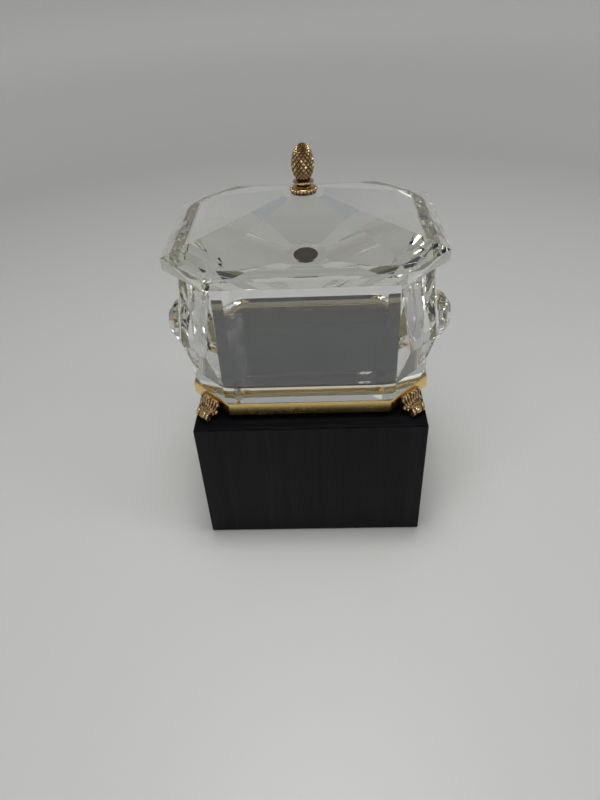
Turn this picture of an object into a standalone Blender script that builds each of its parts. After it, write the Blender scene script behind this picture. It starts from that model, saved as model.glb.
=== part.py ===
"""Cut-crystal casket with gilt-bronze mounts, standing on an ebonised wooden plinth.

Metres, +Z up, +X to the right, the front towards -Y. The origin is under the centre of
the plinth. The plinth, the casket and the lid are three loose bodies stacked in that order.
"""

import bpy
import bmesh
from math import cos, pi, radians, sin, sqrt
from mathutils import Matrix, Vector

GAP = 0.0003                    # clearance between faces that touch

# plinth
PLINTH_WIDTH = 0.184
PLINTH_DEPTH = 0.190
PLINTH_TOP = 0.120
BOARD = 0.009                   # thickness of the plinth's boards
PAD_RADIUS = 0.009
PAD_HEIGHT = 0.0025
PAD_STANDOUT = 0.001            # how far the felt pads stand out under the plinth
PAD_INSET = 0.030
BLOCK_SIDE = 0.018              # corner blocks inside the plinth
BLOCK_HEIGHT = 0.070
WOOD_SCREW_LENGTH = 0.022

# base frame, the gilt ring that carries the crystal
FRAME_BOTTOM = 0.1235
FRAME_TOP = 0.1340
FRAME_HALF = (0.0962, 0.0806, 0.1021)   # distances of the end, front and corner faces
FRAME_BEVEL = 0.0012
FRAME_ARRIS = 0.0004
FRAME_OPENING = (0.0842, 0.0686, 0.0950)   # the same three distances inside the ring
SEAT_Z = 0.1290                 # ledge inside the lip
BED_HEIGHT = 0.0006             # cement between ledge and crystal
BED_INSET = 0.0010              # how far the cement stops short of both edges

# crystal body: end, front and corner face distances at each level
BODY_TOP = 0.2382
BODY_LEVELS = (
    (SEAT_Z + BED_HEIGHT + 2 * GAP, 0.0950, 0.0794, 0.1009),
    (0.1480, 0.0950, 0.0794, 0.1009),
    (0.1720, 0.1020, 0.0794, 0.1050),
    (BODY_TOP, 0.0945, 0.0794, 0.1005),
)
FRONT_HALF_LENGTH = 0.0580      # half the length of the flat front face
END_HALF_LENGTH = 0.0440        # half the length of the flat end face at the foot
WELL_HALF = (0.0850, 0.0700, 0.0965)
WELL_FLOOR = 0.1440
WELL_COVE = 0.0030
BOSS_CENTRE_Z = 0.1635
BOSS_ROOT = 0.0905
BOSS_RINGS = ((0.0905, 0.0235), (0.1045, 0.0235), (0.1130, 0.0185), (0.1185, 0.0105))
BOSS_SIDES = 16
BOSS_WIDTH_RATIO = 0.85

# lid
LID_BOTTOM = BODY_TOP + GAP
LID_HALF = (0.1030, 0.0880, 0.1107)
LID_BAND = 0.0085
LID_STEP_IN = 0.0070
LID_STEP_UP = 0.0025
CROWN_TOP = 0.2720
CROWN_FLAT = (0.0150, 0.0125, 0.0160)
PLUG_CLEARANCE = 0.0013
PLUG_DEPTH = 0.0083

# feet
FOOT_SCROLL_OUT = 0.0138        # scroll centre, outwards from the frame's corner face
FOOT_SCROLL_RADIUS = 0.0040
FOOT_SCROLL_HALF = 0.0078
FOOT_LEAF_HALF = 0.0122
FOOT_TAB_IN = 0.0075
SCREW_RADIUS = 0.0014
SCREW_HEAD_RADIUS = 0.0027
SCREW_HEAD_HEIGHT = 0.0020
SCREW_Z = 0.1262
SCREW_REACH = 0.0035            # how far a foot screw enters the foot

# finial
FINIAL_CEMENT_HEIGHT = 0.0004
CONE_RADIUS = 0.0083
CONE_HEIGHT = 0.0250
CONE_SHAPE = (                  # share of the height, share of the radius
    (0.00, 0.50), (0.08, 0.72), (0.18, 0.88), (0.30, 0.97), (0.42, 1.00), (0.55, 0.97),
    (0.67, 0.88), (0.78, 0.73), (0.87, 0.55), (0.94, 0.36), (0.985, 0.17),
)
STUD_RADIUS = 0.0015


def clear_scene():
    for item in list(bpy.data.objects):
        bpy.data.objects.remove(item, do_unlink=True)


def make_material(name, colour, roughness, metallic=0.0, transmission=0.0):
    material = bpy.data.materials.new(name)
    material.use_nodes = True
    shader = material.node_tree.nodes["Principled BSDF"]
    shader.inputs["Base Color"].default_value = (*colour, 1.0)
    shader.inputs["Roughness"].default_value = roughness
    shader.inputs["Metallic"].default_value = metallic
    shader.inputs["Transmission Weight"].default_value = transmission
    return material


def add_object(name, bm, material, matrix=None, sharp_angle=None):
    """Turns a closed bmesh into a named object with its normals outwards."""
    bmesh.ops.recalc_face_normals(bm, faces=bm.faces)
    mesh = bpy.data.meshes.new(name)
    bm.to_mesh(mesh)
    bm.free()
    if sharp_angle is not None:
        mesh.shade_smooth()
        mesh.set_sharp_from_angle(angle=sharp_angle)
    mesh.materials.append(material)
    item = bpy.data.objects.new(name, mesh)
    bpy.context.scene.collection.objects.link(item)
    if matrix is not None:
        item.matrix_world = matrix
    return item


def line_crossing(normal_a, distance_a, normal_b, distance_b):
    """Point where two lines, each given by its normal and distance, cross."""
    determinant = normal_a[0] * normal_b[1] - normal_a[1] * normal_b[0]
    x = (distance_a * normal_b[1] - distance_b * normal_a[1]) / determinant
    y = (distance_b * normal_a[0] - distance_a * normal_b[0]) / determinant
    return x, y


def outline(faces, height):
    """Closed outline at a height, from (angle in degrees, distance) of each upright face."""
    normals = [(cos(radians(angle)), sin(radians(angle))) for angle, _ in faces]
    points = []
    for index in range(len(faces)):
        following = (index + 1) % len(faces)
        x, y = line_crossing(normals[index], faces[index][1],
                             normals[following], faces[following][1])
        points.append(Vector((x, y, height)))
    return points


def octagon(half, height, inset=0.0):
    """Eight-sided outline from the distances of its end, front and corner faces."""
    end, front, corner = (distance - inset for distance in half)
    faces = [(45 * k, (end, corner, front, corner)[k % 4]) for k in range(8)]
    return outline(faces, height)


def body_outline(height, end, front, corner):
    """Octagon whose eight corners are cut by narrow upright strips at 22.5 degrees."""
    near_front = FRONT_HALF_LENGTH * sin(radians(22.5)) + front * cos(radians(22.5))
    foot_end = BODY_LEVELS[0][1]
    near_end = foot_end * cos(radians(22.5)) + END_HALF_LENGTH * sin(radians(22.5))
    near_end += (end - foot_end) * 0.93
    by_quarter = (end, near_end, corner, near_front, front, near_front, corner, near_end)
    faces = [(22.5 * k, by_quarter[k % 8]) for k in range(16)]
    return outline(faces, height)


def bridge(bm, lower, upper):
    count = len(lower)
    for index in range(count):
        following = (index + 1) % count
        bm.faces.new((lower[index], lower[following], upper[following], upper[index]))


def loft(rings):
    """Closed solid through rings of equal length, capped at both ends."""
    bm = bmesh.new()
    vertex_rings = [[bm.verts.new(point) for point in ring] for ring in rings]
    for lower, upper in zip(vertex_rings, vertex_rings[1:]):
        bridge(bm, lower, upper)
    bm.faces.new(list(reversed(vertex_rings[0])))
    bm.faces.new(vertex_rings[-1])
    return bm


def ring_solid(rings):
    """Closed ring whose section runs through the given outlines and back to the first."""
    bm = bmesh.new()
    vertex_rings = [[bm.verts.new(point) for point in ring] for ring in rings]
    for lower, upper in zip(vertex_rings, vertex_rings[1:] + vertex_rings[:1]):
        bridge(bm, lower, upper)
    return bm


def turned(profile, sides):
    """Solid of revolution about Z from (radius, height) points, first and last on the axis."""
    bm = bmesh.new()
    low = bm.verts.new((0, 0, profile[0][1]))
    high = bm.verts.new((0, 0, profile[-1][1]))
    rings = []
    for radius, height in profile[1:-1]:
        ring = []
        for k in range(sides):
            angle = 2 * pi * k / sides
            ring.append(bm.verts.new((radius * cos(angle), radius * sin(angle), height)))
        rings.append(ring)
    for lower, upper in zip(rings, rings[1:]):
        bridge(bm, lower, upper)
    for k in range(sides):
        following = (k + 1) % sides
        bm.faces.new((low, rings[0][following], rings[0][k]))
        bm.faces.new((high, rings[-1][k], rings[-1][following]))
    return bm


def turned_ring(profile, sides):
    """Bored solid of revolution about Z from a closed (radius, height) section."""
    circles = []
    for radius, height in profile:
        circles.append([Vector((radius * cos(2 * pi * k / sides),
                                radius * sin(2 * pi * k / sides), height))
                        for k in range(sides)])
    return ring_solid(circles)


def box_bmesh(low, high):
    bottom = [Vector((low[0], low[1], low[2])), Vector((high[0], low[1], low[2])),
              Vector((high[0], high[1], low[2])), Vector((low[0], high[1], low[2]))]
    top = [Vector((point.x, point.y, high[2])) for point in bottom]
    return loft([bottom, top])


def cut(item, cutter, operation="DIFFERENCE"):
    """Adds an exact Boolean to an object and hides its cutter."""
    modifier = item.modifiers.new(cutter.name, "BOOLEAN")
    modifier.operation = operation
    modifier.solver = "EXACT"
    modifier.object = cutter
    cutter.hide_render = True
    cutter.display_type = "WIRE"


def corner_frame(half, sign_x, sign_y):
    """Frame at the middle of a corner face of an octagon: X outwards, Z up."""
    end, front, corner = half
    diagonal = (sqrt(0.5), sqrt(0.5))
    first = line_crossing((1, 0), end, diagonal, corner)
    second = line_crossing((0, 1), front, diagonal, corner)
    outwards = Vector((sign_x, sign_y, 0)).normalized()
    sideways = Vector((-outwards.y, outwards.x, 0))
    place = Matrix((outwards, sideways, Vector((0, 0, 1)))).transposed().to_4x4()
    place.translation = (sign_x * (first[0] + second[0]) / 2,
                         sign_y * (first[1] + second[1]) / 2, 0)
    return place


CORNERS = {
    "front_left": (-1, -1),
    "front_right": (1, -1),
    "back_left": (-1, 1),
    "back_right": (1, 1),
}


def make_plinth(wood, felt, steel):
    """Mitred box: four sides and a top meeting at 45 degrees, and a bottom let in."""
    half_x = PLINTH_WIDTH / 2
    half_y = PLINTH_DEPTH / 2
    low = PAD_STANDOUT
    mitre = GAP / 2 * sqrt(2)

    # the top narrows downwards, its four edges mitred
    lower = rectangle(half_x - BOARD - mitre, half_y - BOARD - mitre, PLINTH_TOP - BOARD)
    upper = rectangle(half_x - mitre, half_y - mitre, PLINTH_TOP)
    add_object("plinth_top", loft([lower, upper]), wood)

    for name, turn, reach, half in (
        ("plinth_front", 0, half_y, half_x),
        ("plinth_right", 90, half_x, half_y),
        ("plinth_back", 180, half_y, half_x),
        ("plinth_left", 270, half_x, half_y),
    ):
        outer = half - mitre
        inner = half - BOARD - mitre
        outer_face = [Vector((-outer, -reach, low)), Vector((outer, -reach, low)),
                      Vector((outer, -reach, PLINTH_TOP - mitre)),
                      Vector((-outer, -reach, PLINTH_TOP - mitre))]
        inner_top = PLINTH_TOP - BOARD - mitre
        inner_face = [Vector((-inner, -reach + BOARD, low)), Vector((inner, -reach + BOARD, low)),
                      Vector((inner, -reach + BOARD, inner_top)),
                      Vector((-inner, -reach + BOARD, inner_top))]
        add_object(name, loft([outer_face, inner_face]), wood,
                   Matrix.Rotation(radians(turn), 4, "Z"))

    inside_x = half_x - BOARD - GAP
    inside_y = half_y - BOARD - GAP
    bottom = add_object("plinth_bottom", box_bmesh((-inside_x, -inside_y, low),
                                                   (inside_x, inside_y, low + BOARD)), wood)
    block_low = low + BOARD + GAP
    for corner, (sign_x, sign_y) in CORNERS.items():
        pad_x = sign_x * (inside_x - PAD_INSET)
        pad_y = sign_y * (inside_y - PAD_INSET)
        pocket_top = PAD_HEIGHT + GAP
        pocket = add_object("pocket_" + corner, turned(
            [(0, -0.001), (PAD_RADIUS + GAP, -0.001),
             (PAD_RADIUS + GAP, pocket_top), (0, pocket_top)], 32), wood,
            Matrix.Translation((pad_x, pad_y, 0)))
        cut(bottom, pocket)
        add_object("felt_pad_" + corner, turned(
            [(0, 0), (PAD_RADIUS, 0), (PAD_RADIUS, PAD_HEIGHT), (0, PAD_HEIGHT)], 32), felt,
            Matrix.Translation((pad_x, pad_y, 0)), radians(40))

        screw_x = sign_x * (inside_x - BLOCK_SIDE / 2)
        screw_y = sign_y * (inside_y - BLOCK_SIDE / 2)
        centre = Matrix.Translation((screw_x, screw_y, low))
        block = add_object("corner_block_" + corner, box_bmesh(
            (screw_x - BLOCK_SIDE / 2, screw_y - BLOCK_SIDE / 2, block_low),
            (screw_x + BLOCK_SIDE / 2, screw_y + BLOCK_SIDE / 2, block_low + BLOCK_HEIGHT)), wood)
        head = 0.0034
        shank = 0.0016
        cone = head - shank
        hole = add_object("hole_" + corner, turned(
            [(0, -0.001), (head + GAP, -0.001), (head + GAP, GAP), (shank + GAP, cone + GAP),
             (shank + GAP, WOOD_SCREW_LENGTH + GAP), (0, WOOD_SCREW_LENGTH + GAP)], 24), wood,
            centre)
        cut(bottom, hole)
        cut(block, hole)
        screw = add_object("wood_screw_" + corner, turned(
            [(0, GAP), (head, GAP), (shank, cone + GAP), (shank, WOOD_SCREW_LENGTH - 0.004),
             (0, WOOD_SCREW_LENGTH)], 24), steel, centre, radians(35))
        slot = add_object("slot_wood_" + corner, box_bmesh(
            (-0.005, -0.0004, -0.001), (0.005, 0.0004, 0.0011)), steel, centre)
        cut(screw, slot)


def rectangle(half_x, half_y, height):
    return [Vector((-half_x, -half_y, height)), Vector((half_x, -half_y, height)),
            Vector((half_x, half_y, height)), Vector((-half_x, half_y, height))]


def make_base_frame(gilt):
    """Eight-sided cast ring with a bevelled shoulder, a ledge and a thin lip."""
    bevelled = tuple(distance - FRAME_BEVEL * 0.4 for distance in FRAME_HALF)
    lip_inner = tuple(distance + GAP for distance in BODY_LEVELS[0][1:])
    bm = ring_solid([
        octagon(FRAME_HALF, FRAME_BOTTOM + FRAME_ARRIS),
        octagon(FRAME_HALF, FRAME_TOP - FRAME_BEVEL),
        octagon(bevelled, FRAME_TOP),
        octagon(lip_inner, FRAME_TOP),
        octagon(lip_inner, SEAT_Z),
        octagon(FRAME_OPENING, SEAT_Z),
        octagon(FRAME_OPENING, FRAME_BOTTOM),
        octagon(FRAME_HALF, FRAME_BOTTOM, FRAME_ARRIS),
    ])
    return add_object("base_frame", bm, gilt)


def make_cement_bed(cement):
    """Thin ring of cement on the ledge, under the crystal."""
    outer = tuple(distance - BED_INSET for distance in BODY_LEVELS[0][1:])
    inner = tuple(distance + BED_INSET for distance in FRAME_OPENING)
    low = SEAT_Z + GAP
    high = low + BED_HEIGHT
    return add_object("cement_bed", ring_solid([
        octagon(outer, low), octagon(outer, high), octagon(inner, high), octagon(inner, low),
    ]), cement)


def make_crystal_body(crystal):
    """Thick cut body with a bulged middle, an eight-sided well and a boss at each end."""
    outer = [body_outline(*level) for level in BODY_LEVELS]
    bm = bmesh.new()
    rings = [[bm.verts.new(point) for point in ring] for ring in outer]
    for lower, upper in zip(rings, rings[1:]):
        bridge(bm, lower, upper)
    bm.faces.new(list(reversed(rings[0])))
    bm.faces.new(rings[-1])
    body = add_object("crystal_body", bm, crystal)
    cove = tuple(distance - WELL_COVE for distance in WELL_HALF)
    well = add_object("well_cutter", loft([
        octagon(cove, WELL_FLOOR), octagon(WELL_HALF, WELL_FLOOR + WELL_COVE),
        octagon(WELL_HALF, BODY_TOP + 0.010),
    ]), crystal)
    for side, sign in (("left", -1), ("right", 1)):
        rings = []
        for reach, radius in BOSS_RINGS:
            ring = []
            for k in range(BOSS_SIDES):
                angle = 2 * pi * (k + 0.5) / BOSS_SIDES
                ring.append(Vector((sign * reach, BOSS_WIDTH_RATIO * radius * cos(angle),
                                    BOSS_CENTRE_Z + radius * sin(angle))))
            rings.append(ring)
        boss = add_object("boss_" + side, loft(rings), crystal)
        cut(body, boss, "UNION")
    cut(body, well)
    return body


def foot_half_width(out):
    """Half the foot's width: wide at the leaf against the frame, narrow at the scroll."""
    share = min(max(out / FOOT_SCROLL_OUT, 0.0), 1.0)
    return FOOT_LEAF_HALF + (FOOT_SCROLL_HALF - FOOT_LEAF_HALF) * share


def make_foot(name, signs, gilt):
    """Leaf that lies on the frame's corner face and rolls out into a scroll toe."""
    base = PLINTH_TOP + GAP
    scroll_z = base + FOOT_SCROLL_RADIUS
    profile = [
        (GAP, FRAME_TOP - 0.0004),
        (0.0022, FRAME_TOP - 0.0002),
        (0.0036, FRAME_TOP - 0.0020),
        (0.0044, FRAME_TOP - 0.0048),
        (0.0058, FRAME_TOP - 0.0074),
        (0.0082, scroll_z + FOOT_SCROLL_RADIUS - 0.0008),
    ]
    for step in range(0, 10):
        angle = radians(115 - 27 * step)
        profile.append((FOOT_SCROLL_OUT + FOOT_SCROLL_RADIUS * cos(angle),
                        scroll_z + FOOT_SCROLL_RADIUS * sin(angle)))
    profile += [
        (0.0085, base + 0.0012),
        (0.0060, base),
        (-FOOT_TAB_IN, base),
        (-FOOT_TAB_IN, FRAME_BOTTOM - GAP),
        (GAP, FRAME_BOTTOM - GAP),
    ]
    left = [Vector((out, -foot_half_width(out), height)) for out, height in profile]
    right = [Vector((out, foot_half_width(out), height)) for out, height in profile]
    foot = add_object(name, loft([left, right]), gilt,
                      corner_frame(FRAME_HALF, *signs), radians(35))
    return foot


def make_screw_hole(name, material, start, end, signs):
    """Cutter for a foot screw, lying along the corner's diagonal."""
    length = end - start
    along = Matrix.Translation((start, 0, SCREW_Z)) @ Matrix.Rotation(pi / 2, 4, "Y")
    bm = turned([(0, 0), (SCREW_RADIUS + GAP, 0), (SCREW_RADIUS + GAP, length), (0, length)], 20)
    return add_object(name, bm, material, corner_frame(FRAME_HALF, *signs) @ along)


def make_feet(frame, gilt, brass):
    """Four feet, each held by a screw driven outwards through the frame."""
    for corner, signs in CORNERS.items():
        foot = make_foot("foot_" + corner, signs, gilt)
        inner_face = FRAME_OPENING[2] - FRAME_HALF[2]
        hole = make_screw_hole("foot_hole_" + corner, brass, inner_face - 0.002,
                               SCREW_REACH + GAP, signs)
        cut(frame, hole)
        cut(foot, hole)
        head_start = inner_face - GAP - SCREW_HEAD_HEIGHT
        length = SCREW_REACH - head_start
        along = Matrix.Translation((head_start, 0, SCREW_Z)) @ Matrix.Rotation(pi / 2, 4, "Y")
        place = corner_frame(FRAME_HALF, *signs) @ along
        screw = add_object("foot_screw_" + corner, turned(
            [(0, 0), (SCREW_HEAD_RADIUS, 0), (SCREW_HEAD_RADIUS, SCREW_HEAD_HEIGHT),
             (SCREW_RADIUS, SCREW_HEAD_HEIGHT), (SCREW_RADIUS, length - 0.0005),
             (0, length)], 20), brass, place, radians(35))
        slot = add_object("slot_foot_" + corner, box_bmesh(
            (-0.004, -0.0003, -0.001), (0.004, 0.0003, 0.0008)), brass, place)
        cut(screw, slot)


def make_lid(crystal):
    """Solid cut lid: upright band, two shallow steps, a low eight-faced crown and a plug below."""
    step = LID_STEP_IN
    band_top = LID_BOTTOM + LID_BAND
    plug = tuple(distance - PLUG_CLEARANCE for distance in WELL_HALF)
    levels = [
        octagon(plug, LID_BOTTOM - PLUG_DEPTH),
        octagon(plug, LID_BOTTOM),
        octagon(LID_HALF, LID_BOTTOM),
        octagon(LID_HALF, band_top),
        octagon(LID_HALF, band_top + LID_STEP_UP, step),
        octagon(LID_HALF, band_top + 2 * LID_STEP_UP, 2 * step),
        octagon(CROWN_FLAT, CROWN_TOP),
    ]
    return add_object("lid_crystal", loft(levels), crystal)


def make_finial(gilt, brass, cement):
    """Pine cone on a turned knop and a beaded flange, held together by a stud."""
    cement_low = CROWN_TOP + GAP
    cement_high = cement_low + FINIAL_CEMENT_HEIGHT
    add_object("finial_cement", turned([
        (0, cement_low), (0.0095, cement_low), (0.0095, cement_high), (0, cement_high),
    ], 32), cement, None, radians(35))
    bore = STUD_RADIUS + GAP
    flange_low = cement_high + GAP
    flange_high = flange_low + 0.0042
    add_object("finial_flange", turned_ring([
        (bore, flange_low), (0.0098, flange_low), (0.0106, flange_low + 0.0008),
        (0.0106, flange_low + 0.0016), (0.0096, flange_low + 0.0024),
        (0.0074, flange_low + 0.0030), (0.0056, flange_high), (bore, flange_high),
    ], 40), gilt, None, radians(35))
    knop_low = flange_high + GAP
    knop_high = knop_low + 0.0042
    add_object("finial_knop", turned_ring([
        (bore, knop_low), (0.0050, knop_low), (0.0048, knop_low + 0.0006),
        (0.0072, knop_low + 0.0014), (0.0079, knop_low + 0.0023),
        (0.0072, knop_low + 0.0032), (0.0046, knop_low + 0.0038), (0.0044, knop_high),
        (bore, knop_high),
    ], 40), gilt, None, radians(35))
    cone_low = knop_high + GAP
    profile = [(0, cone_low)]
    for height_share, radius_share in CONE_SHAPE:
        profile.append((CONE_RADIUS * radius_share, cone_low + CONE_HEIGHT * height_share))
    profile.append((0, cone_low + CONE_HEIGHT))
    cone = add_object("finial_cone", turned(profile, 28), gilt, None, radians(60))
    stud_high = cone_low + 0.010
    bore_cutter = add_object("cone_bore", turned([
        (0, cone_low - 0.002), (bore, cone_low - 0.002), (bore, stud_high + GAP),
        (0, stud_high + GAP)], 20), gilt)
    cut(cone, bore_cutter)
    add_object("finial_stud", turned([
        (0, flange_low), (STUD_RADIUS, flange_low), (STUD_RADIUS, stud_high), (0, stud_high),
    ], 20), brass, None, radians(35))


def main():
    clear_scene()
    crystal = make_material("crystal", (0.97, 0.98, 0.95), 0.0, 0.0, 1.0)
    gilt = make_material("gilt_bronze", (0.52, 0.35, 0.13), 0.32, 1.0)
    brass = make_material("screw_brass", (0.60, 0.45, 0.20), 0.35, 1.0)
    wood = make_material("ebonised_wood", (0.012, 0.012, 0.013), 0.42)
    felt = make_material("black_felt", (0.02, 0.02, 0.02), 0.95)
    cement = make_material("cement", (0.62, 0.58, 0.46), 0.6)
    steel = make_material("screw_steel", (0.45, 0.45, 0.44), 0.4, 1.0)
    make_plinth(wood, felt, steel)
    frame = make_base_frame(gilt)
    make_cement_bed(cement)
    make_crystal_body(crystal)
    make_feet(frame, gilt, brass)
    make_lid(crystal)
    make_finial(gilt, brass, cement)


main()
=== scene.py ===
import math

import bmesh
import bpy
from mathutils import Matrix, Vector


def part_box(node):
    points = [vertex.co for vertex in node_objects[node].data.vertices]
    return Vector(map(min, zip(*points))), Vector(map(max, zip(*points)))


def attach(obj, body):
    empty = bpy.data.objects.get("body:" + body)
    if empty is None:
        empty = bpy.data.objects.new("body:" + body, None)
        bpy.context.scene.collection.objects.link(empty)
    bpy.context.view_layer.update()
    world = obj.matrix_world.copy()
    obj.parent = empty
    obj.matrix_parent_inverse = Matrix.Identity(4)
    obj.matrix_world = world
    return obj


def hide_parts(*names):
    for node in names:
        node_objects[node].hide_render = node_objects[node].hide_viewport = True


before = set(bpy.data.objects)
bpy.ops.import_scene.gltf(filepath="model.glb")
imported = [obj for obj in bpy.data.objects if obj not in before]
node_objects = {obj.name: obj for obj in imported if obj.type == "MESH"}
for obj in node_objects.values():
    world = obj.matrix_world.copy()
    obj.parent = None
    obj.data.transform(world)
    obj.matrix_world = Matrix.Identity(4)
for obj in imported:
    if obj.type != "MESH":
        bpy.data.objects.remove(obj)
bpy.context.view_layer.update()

MM = 0.001
scene = bpy.context.scene


# ---------------------------------------------------------------------------
# Camera. A short lens held above and in front of the casket, looking down at
# it and turned and tilted a little by hand.
# ---------------------------------------------------------------------------

CAMERA_PLACE = Vector((0.0124, -0.4588, 0.4382))
CAMERA_DOWN = math.radians(38.45)
CAMERA_PAN = math.radians(2.98)
CAMERA_ROLL = math.radians(-3.23)
CAMERA_LENS = 27.9

camera_data = bpy.data.cameras.new("camera")
camera_data.lens = CAMERA_LENS
camera_data.sensor_width = 36.0
camera_data.clip_start = 0.02
camera_data.clip_end = 50.0
camera = bpy.data.objects.new("camera", camera_data)
scene.collection.objects.link(camera)
camera.matrix_world = (
    Matrix.Translation(CAMERA_PLACE)
    @ Matrix.Rotation(CAMERA_PAN, 4, "Z")
    @ Matrix.Rotation(math.pi / 2 - CAMERA_DOWN, 4, "X")
    @ Matrix.Rotation(CAMERA_ROLL, 4, "Z")
)
scene.camera = camera


# ---------------------------------------------------------------------------
# Floor and light. A pale sweep that rises round the floor on every side, a
# soft light overhead and softer ones at the front left and right. Cut
# crystal needs many bounces before a ray finds its way out.
# ---------------------------------------------------------------------------

FLOOR_RADIUS = 1.35
FLOOR_FLAT = 0.40                   # radius of the first ring of the level floor
FLOOR_SIDES = 96
SWEEP_RADIUS = 0.35
SWEEP_TOP = 0.95
SWEEP_STEPS = 8
FLOOR_COLOUR = (0.55, 0.545, 0.53)
WORLD_COLOUR = (0.79, 0.82, 0.86)
WORLD_STRENGTH = 0.38
LIGHTS = (                          # name, place, size, power in watts
    ("overhead", (0.0, 0.0, 1.30), (0.42, 0.28), 7.6),
    ("front_fill", (-0.8, -0.9, 0.95), (0.6, 0.4), 3.6),
    ("side_fill", (1.0, -0.3, 0.9), (0.4, 0.5), 2.6))
LIGHT_AIM = Vector((0, 0, 0.1))


def link_object(name, mesh):
    item = bpy.data.objects.new(name, mesh)
    scene.collection.objects.link(item)
    return item


def turns(sides):
    """Angles of the corners of a regular ring."""
    return [2 * math.pi * k / sides for k in range(sides)]


def join_rings(bm, rings):
    """Faces between neighbouring rings of vertices, where a ring of one is a point."""
    for lower, upper in zip(rings, rings[1:]):
        sides = max(len(lower), len(upper))
        for k in range(sides):
            j = (k + 1) % sides
            if len(lower) == 1:
                bm.faces.new((lower[0], upper[j], upper[k]))
            elif len(upper) == 1:
                bm.faces.new((lower[k], lower[j], upper[0]))
            else:
                bm.faces.new((lower[k], lower[j], upper[j], upper[k]))


def sweep_mesh():
    """Level round floor that curves up at its edge into a wall."""
    profile = [(FLOOR_FLAT, 0.0), (FLOOR_RADIUS - SWEEP_RADIUS, 0.0)]
    for step in range(1, SWEEP_STEPS + 1):
        angle = math.pi / 2 * step / SWEEP_STEPS
        profile.append((FLOOR_RADIUS - SWEEP_RADIUS + SWEEP_RADIUS * math.sin(angle),
                        SWEEP_RADIUS * (1 - math.cos(angle))))
    profile.append((FLOOR_RADIUS, SWEEP_TOP))
    bm = bmesh.new()
    rings = [[bm.verts.new((0, 0, 0))]]
    for radius, height in profile:
        rings.append([bm.verts.new((radius * math.cos(a), radius * math.sin(a), height))
                      for a in turns(FLOOR_SIDES)])
    join_rings(bm, rings)
    mesh = bpy.data.meshes.new("floor")
    bm.to_mesh(mesh)
    bm.free()
    mesh.shade_smooth()
    return mesh


def new_material(name):
    """Material with its node tree, its Principled shader and its output."""
    material = bpy.data.materials.new(name)
    material.use_nodes = True
    tree = material.node_tree
    shader = next(n for n in tree.nodes if n.type == "BSDF_PRINCIPLED")
    output = next(n for n in tree.nodes if n.type == "OUTPUT_MATERIAL")
    return material, tree, shader, output


def floor_paint():
    material, tree, shader, output = new_material("floor_paint")
    shader.inputs["Base Color"].default_value = (*FLOOR_COLOUR, 1)
    shader.inputs["Roughness"].default_value = 0.45
    return material


def soft_light(name, place, size, power):
    """Rectangular lamp turned to the middle of the object."""
    data = bpy.data.lights.new(name, "AREA")
    data.shape = "RECTANGLE"
    data.size, data.size_y = size
    data.energy = power
    light = bpy.data.objects.new(name, data)
    scene.collection.objects.link(light)
    light.location = place
    light.rotation_euler = (LIGHT_AIM - Vector(place)).to_track_quat("-Z", "Y").to_euler()


floor = link_object("floor", sweep_mesh())
floor.data.materials.append(floor_paint())

for lamp in LIGHTS:
    soft_light(*lamp)

world = bpy.data.worlds.new("surroundings")
world.use_nodes = True
background = next(n for n in world.node_tree.nodes if n.type == "BACKGROUND")
background.inputs["Color"].default_value = (*WORLD_COLOUR, 1)
background.inputs["Strength"].default_value = WORLD_STRENGTH
scene.world = world

scene.cycles.max_bounces = 32
scene.cycles.transmission_bounces = 32
scene.cycles.glossy_bounces = 16
scene.cycles.transparent_max_bounces = 32
scene.cycles.sample_clamp_indirect = 6.0
scene.cycles.blur_glossy = 0.5
scene.view_settings.view_transform = "Standard"


# ---------------------------------------------------------------------------
# Plinth. A hollow box of ebonised boards, black stain over open grain with a
# satin wax, mitred and glued. Its arrises are rubbed a little, so each board
# is the frame's own board with its edges eased.
# ---------------------------------------------------------------------------

BOARD_ARRIS = 0.45 * MM
WELD = 1e-6                         # vertices this close are the same corner
FLAT_ANGLE = math.radians(0.6)      # faces that turn less than this are one face
BLACK_DARK = (0.0018, 0.0018, 0.0023)
BLACK_LIGHT = (0.0115, 0.0120, 0.0148)


def eased_copy(node, name, width, segments=1, angle=math.radians(4)):
    """Copy of a CAD node, welded, with the edges between its faces broken by a fine bevel."""
    bm = bmesh.new()
    bm.from_mesh(node_objects[node].data)
    bmesh.ops.remove_doubles(bm, verts=bm.verts, dist=WELD)
    bmesh.ops.dissolve_limit(bm, angle_limit=FLAT_ANGLE, verts=bm.verts, edges=bm.edges)
    mesh = bpy.data.meshes.new(name)
    bm.to_mesh(mesh)
    bm.free()
    item = link_object(name, mesh)
    bevel = item.modifiers.new("arris", "BEVEL")
    bevel.width = width
    bevel.segments = segments
    bevel.limit_method = "ANGLE"
    bevel.angle_limit = angle
    graph = bpy.context.evaluated_depsgraph_get()
    final = bpy.data.meshes.new_from_object(item.evaluated_get(graph))
    item.modifiers.clear()
    item.data = final
    final.name = name
    final.shade_flat()
    return item


def dress(item, material, body, slot, *nodes):
    """Give a finished piece its material, its body and the nodes it stands for; the slot is not
    used.
    """
    item.data.materials.clear()
    item.data.materials.append(material)
    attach(item, body)
    if nodes:
        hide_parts(*nodes)


def finish_node(node, material):
    """Give a CAD node that stays as it is its material."""
    node_objects[node].data.materials.clear()
    node_objects[node].data.materials.append(material)


def new_group(name, inputs, outputs):
    """Shader node group with its sockets, and its input and output nodes."""
    group = bpy.data.node_groups.new(name, "ShaderNodeTree")
    for socket, kind, value in inputs:
        made = group.interface.new_socket(socket, in_out="INPUT", socket_type=kind)
        made.default_value = value
    for socket, kind in outputs:
        group.interface.new_socket(socket, in_out="OUTPUT", socket_type=kind)
    return group, group.nodes.new("NodeGroupInput"), group.nodes.new("NodeGroupOutput")


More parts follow.
